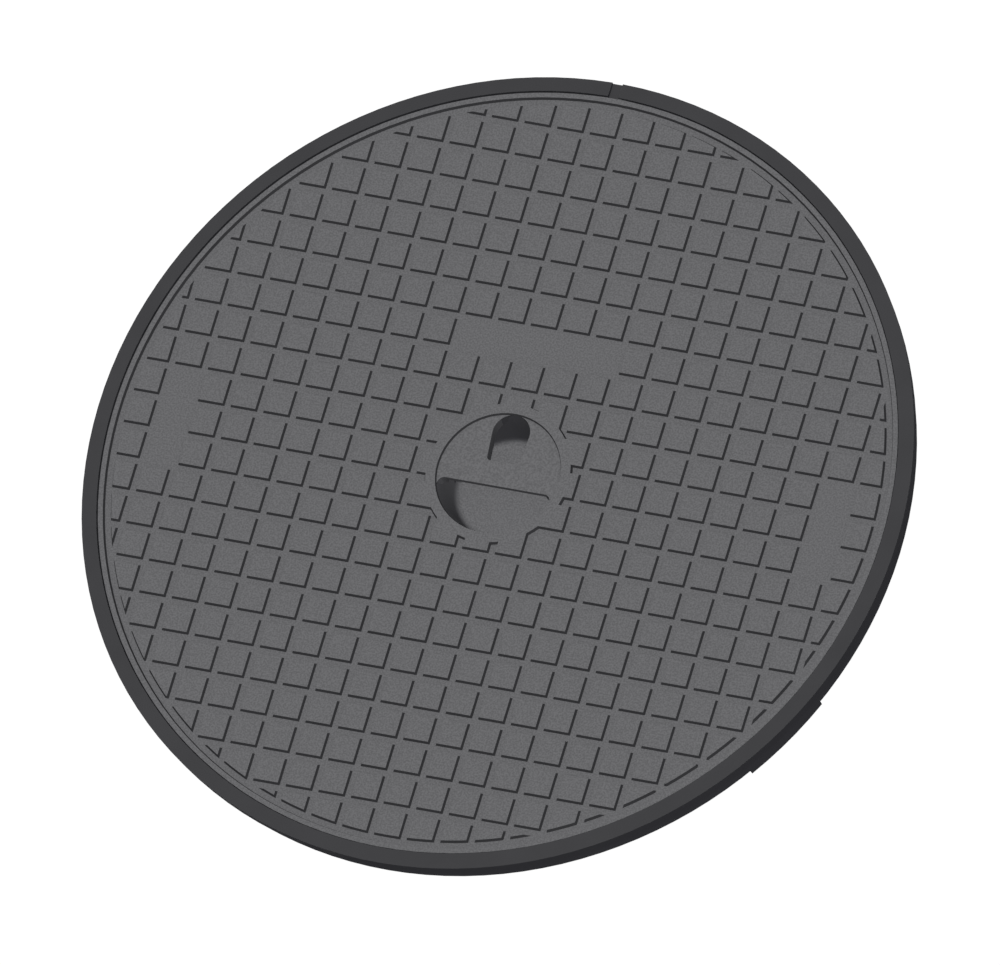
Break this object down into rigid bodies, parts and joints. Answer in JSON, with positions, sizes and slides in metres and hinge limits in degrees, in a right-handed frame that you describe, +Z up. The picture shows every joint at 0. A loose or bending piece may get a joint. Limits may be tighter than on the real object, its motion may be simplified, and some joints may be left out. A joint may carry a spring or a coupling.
{
  "type": "cast iron access cover",
  "caption": "Round cast iron access cover with a field of raised square studs, a plain rim, seating pads under the skirt and a central lifting recess with a bridge.",
  "frame": {"origin": "on the axis of the disc, at the foot of the lifting bowl, the lowest point of the casting", "axes": "+Z up along the axis of the disc, +Y from the centre to the pry slot in the rim"},
  "size_m": [0.6112, 0.6112, 0.0423],
  "materials": {
    "casting": "matt, as cast"
  },
  "bodies": {
    "root": {"cover": "casting"}
  },
  "joints": []
}
